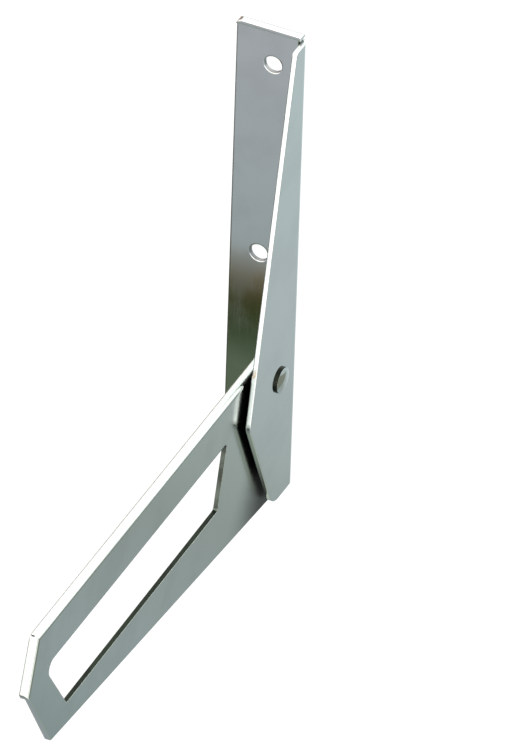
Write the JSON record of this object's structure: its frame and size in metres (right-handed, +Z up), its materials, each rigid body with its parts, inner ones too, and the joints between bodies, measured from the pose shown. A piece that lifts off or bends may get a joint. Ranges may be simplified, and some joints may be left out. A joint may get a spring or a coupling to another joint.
{
  "type": "roof bracket",
  "caption": "Folding roof bracket: a screw-on L-section wall plate and a long sheet-metal arm with a cut-out, which swings up against the plate on a rivet.",
  "frame": {"origin": "axis of the lower screw hole, on the wall plate's back face", "axes": "+Z up along the plate, +Y into the wall, the open arm reaches out along -Y, and the side flange is at +X"},
  "size_m": [0.0374, 0.2728, 0.2548],
  "materials": {
    "plate_steel": "mirror-polished stainless steel sheet",
    "arm_steel": "mirror-polished stainless steel sheet",
    "rivet_steel": "polished stainless steel",
    "friction_brass": "plain rolled bronze strip",
    "collar_steel": "turned steel",
    "washer_steel": "stamped stainless steel",
    "spring_steel": "dark hardened spring steel"
  },
  "bodies": {
    "wall": {"wall_plate": "plate_steel", "pivot_rivet": "rivet_steel", "flange_washer": "friction_brass", "spacer_collar": "collar_steel", "web_washer": "friction_brass", "backing_washer": "washer_steel", "spring_washer": "spring_steel"},
    "arm": {"support_arm": "arm_steel"}
  },
  "joints": [
    {"name": "arm_fold", "type": "hinge", "parent": "wall", "child": "arm", "pos_m": [0, -0.0184, -0.0546], "axis": [-1, 0, 0], "range_deg": [0, 89]}
  ]
}
